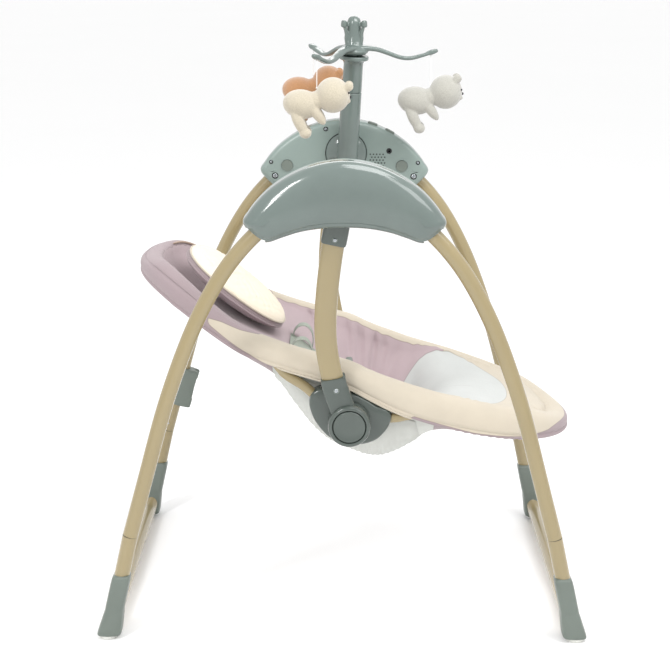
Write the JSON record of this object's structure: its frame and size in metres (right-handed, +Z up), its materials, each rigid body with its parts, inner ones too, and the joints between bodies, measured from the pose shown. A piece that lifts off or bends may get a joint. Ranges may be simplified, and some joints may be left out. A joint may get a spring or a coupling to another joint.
{
  "type": "baby swing",
  "caption": "Electric baby swing: two arched housings on folding tube legs, a padded reclining seat hung on side arms, and a mast with a turning toy mobile.",
  "frame": {"origin": "centre of the bounding box's bottom face, on the floor", "axes": "+X from the seat's head end to its foot end, +Y from the near side to the side that carries the mast, +Z up"},
  "size_m": [0.8072, 0.6672, 0.9836],
  "materials": {
    "sage_gloss": "glossy moulded grey-green",
    "sage_satin": "satin moulded grey-green",
    "cream_paint": "glossy cream powder coat",
    "white_rubber": "soft white rubber",
    "steel": "zinc-plated steel",
    "black": "black moulded",
    "board": "green circuit board",
    "cream_cotton": "quilted padded cloth, cream with mauve and white panels",
    "webbing": "woven grey-green webbing",
    "cord": "thin white cord",
    "plush_cream": "short cream plush",
    "plush_brown": "short orange-brown plush",
    "plush_grey": "short light grey plush"
  },
  "bodies": {
    "housings": {"near_housing_shell": "sage_gloss", "far_housing_shell": "sage_gloss", "near_housing_cover": "sage_gloss", "far_housing_cover": "sage_gloss", "near_pivot_axle": "steel", "far_pivot_axle": "steel", "drive_motor": "steel", "control_board": "board", "battery_pack": "black", "battery_door": "sage_gloss", "power_socket": "black"},
    "rear_frame": {"near_rear_leg": "cream_paint", "far_rear_leg": "cream_paint", "rear_base_tube": "cream_paint", "near_rear_foot": "sage_satin", "far_rear_foot": "sage_satin", "near_rear_pad": "white_rubber", "far_rear_pad": "white_rubber", "leg_clip": "sage_satin"},
    "front_frame": {"near_front_leg": "cream_paint", "far_front_leg": "cream_paint", "front_base_tube": "cream_paint", "near_front_foot": "sage_satin", "far_front_foot": "sage_satin", "near_front_pad": "white_rubber", "far_front_pad": "white_rubber"},
    "swing_arms": {"near_hanger_socket": "sage_gloss", "far_hanger_socket": "sage_gloss", "near_hanger_tube": "cream_paint", "far_hanger_tube": "cream_paint", "near_hub": "sage_gloss", "far_hub": "sage_gloss"},
    "seat": {"near_seat_bracket": "sage_gloss", "far_seat_bracket": "sage_gloss", "back_tube": "cream_paint", "foot_tube": "cream_paint", "seat_sling": "cream_cotton", "head_cushion": "cream_cotton", "shoulder_strap": "webbing", "crotch_strap": "webbing", "harness_buckle": "sage_satin"},
    "mast": {"mast_lower": "sage_gloss", "mast_upper": "sage_gloss"},
    "mobile": {"mobile_arms": "sage_gloss"},
    "near_recline_button_body": {"near_recline_button": "sage_satin"},
    "near_rear_fold_button_body": {"near_rear_fold_button": "sage_satin"},
    "near_front_fold_button_body": {"near_front_fold_button": "sage_satin"},
    "far_recline_button_body": {"far_recline_button": "sage_satin"},
    "far_rear_fold_button_body": {"far_rear_fold_button": "sage_satin"},
    "far_front_fold_button_body": {"far_front_fold_button": "sage_satin"},
    "music_button_body": {"music_button": "sage_satin"},
    "power_button_body": {"power_button": "sage_satin"},
    "grey_toy_body": {"grey_toy_string": "cord", "grey_toy": "plush_grey"},
    "brown_toy_body": {"brown_toy_string": "cord", "brown_toy": "plush_brown"},
    "cream_toy_body": {"cream_toy_string": "cord", "cream_toy": "plush_cream"}
  },
  "joints": [
    {"name": "rear_fold", "type": "hinge", "parent": "housings", "child": "rear_frame", "pos_m": [-0.1295, -0.0206, 0.6865], "axis": [0, 1, 0], "range_deg": [-20, 0]},
    {"name": "front_fold", "type": "hinge", "parent": "housings", "child": "front_frame", "pos_m": [0.1295, -0.0206, 0.6865], "axis": [0, 1, 0], "range_deg": [0, 20]},
    {"name": "seat_swing", "type": "hinge", "parent": "housings", "child": "swing_arms", "pos_m": [0, -0.0206, 0.73], "axis": [0, 1, 0], "range_deg": [-15, 15]},
    {"name": "recline", "type": "hinge", "parent": "swing_arms", "child": "seat", "pos_m": [0.01, -0.0206, 0.348], "axis": [0, 1, 0], "range_deg": [0, 20]},
    {"name": "mast_swivel", "type": "hinge", "parent": "housings", "child": "mast", "pos_m": [0.003, 0.2344, 0.73], "axis": [0, 1, 0], "range_deg": [0, 30]},
    {"name": "mobile_spin", "type": "hinge", "parent": "mast", "child": "mobile", "pos_m": [0.0155, 0.1854, 0.925], "axis": [0, 0, 1], "range_deg": [-45, 10]},
    {"name": "grey_toy_swing", "type": "hinge", "parent": "mobile", "child": "grey_toy_body", "pos_m": [0.15538, 0.19126, 0.9127], "axis": [0, 1, 0], "range_deg": [-20, 20]},
    {"name": "brown_toy_swing", "type": "hinge", "parent": "mobile", "child": "brown_toy_body", "pos_m": [-0.05952, 0.3036, 0.9127], "axis": [0, 1, 0], "range_deg": [-6, 20]},
    {"name": "cream_toy_swing", "type": "hinge", "parent": "mobile", "child": "cream_toy_body", "pos_m": [-0.04936, 0.06133, 0.9127], "axis": [0, 1, 0], "range_deg": [-20, 20]},
    {"name": "near_recline_press", "type": "slide", "parent": "swing_arms", "child": "near_recline_button_body", "axis": [0, 1, 0], "range_m": [0, 0.0015], "stiffness_N_per_m": 1500, "springref_m": -0.001},
    {"name": "near_rear_fold_press", "type": "slide", "parent": "housings", "child": "near_rear_fold_button_body", "axis": [0, -1, 0], "range_m": [0, 0.003], "stiffness_N_per_m": 800, "springref_m": -0.001},
    {"name": "near_front_fold_press", "type": "slide", "parent": "housings", "child": "near_front_fold_button_body", "axis": [0, -1, 0], "range_m": [0, 0.003], "stiffness_N_per_m": 800, "springref_m": -0.001},
    {"name": "far_recline_press", "type": "slide", "parent": "swing_arms", "child": "far_recline_button_body", "axis": [0, -1, 0], "range_m": [0, 0.0015], "stiffness_N_per_m": 1500, "springref_m": -0.001},
    {"name": "far_rear_fold_press", "type": "slide", "parent": "housings", "child": "far_rear_fold_button_body", "axis": [0, 1, 0], "range_m": [0, 0.003], "stiffness_N_per_m": 800, "springref_m": -0.001},
    {"name": "far_front_fold_press", "type": "slide", "parent": "housings", "child": "far_front_fold_button_body", "axis": [0, 1, 0], "range_m": [0, 0.003], "stiffness_N_per_m": 800, "springref_m": -0.001},
    {"name": "music_press", "type": "slide", "parent": "housings", "child": "music_button_body", "axis": [-0.3202, 0, -0.9473], "range_m": [0, 0.002], "stiffness_N_per_m": 400, "springref_m": -0.001},
    {"name": "power_press", "type": "slide", "parent": "housings", "child": "power_button_body", "axis": [-0.4792, 0, -0.8777], "range_m": [0, 0.002], "stiffness_N_per_m": 400, "springref_m": -0.001}
  ]
}
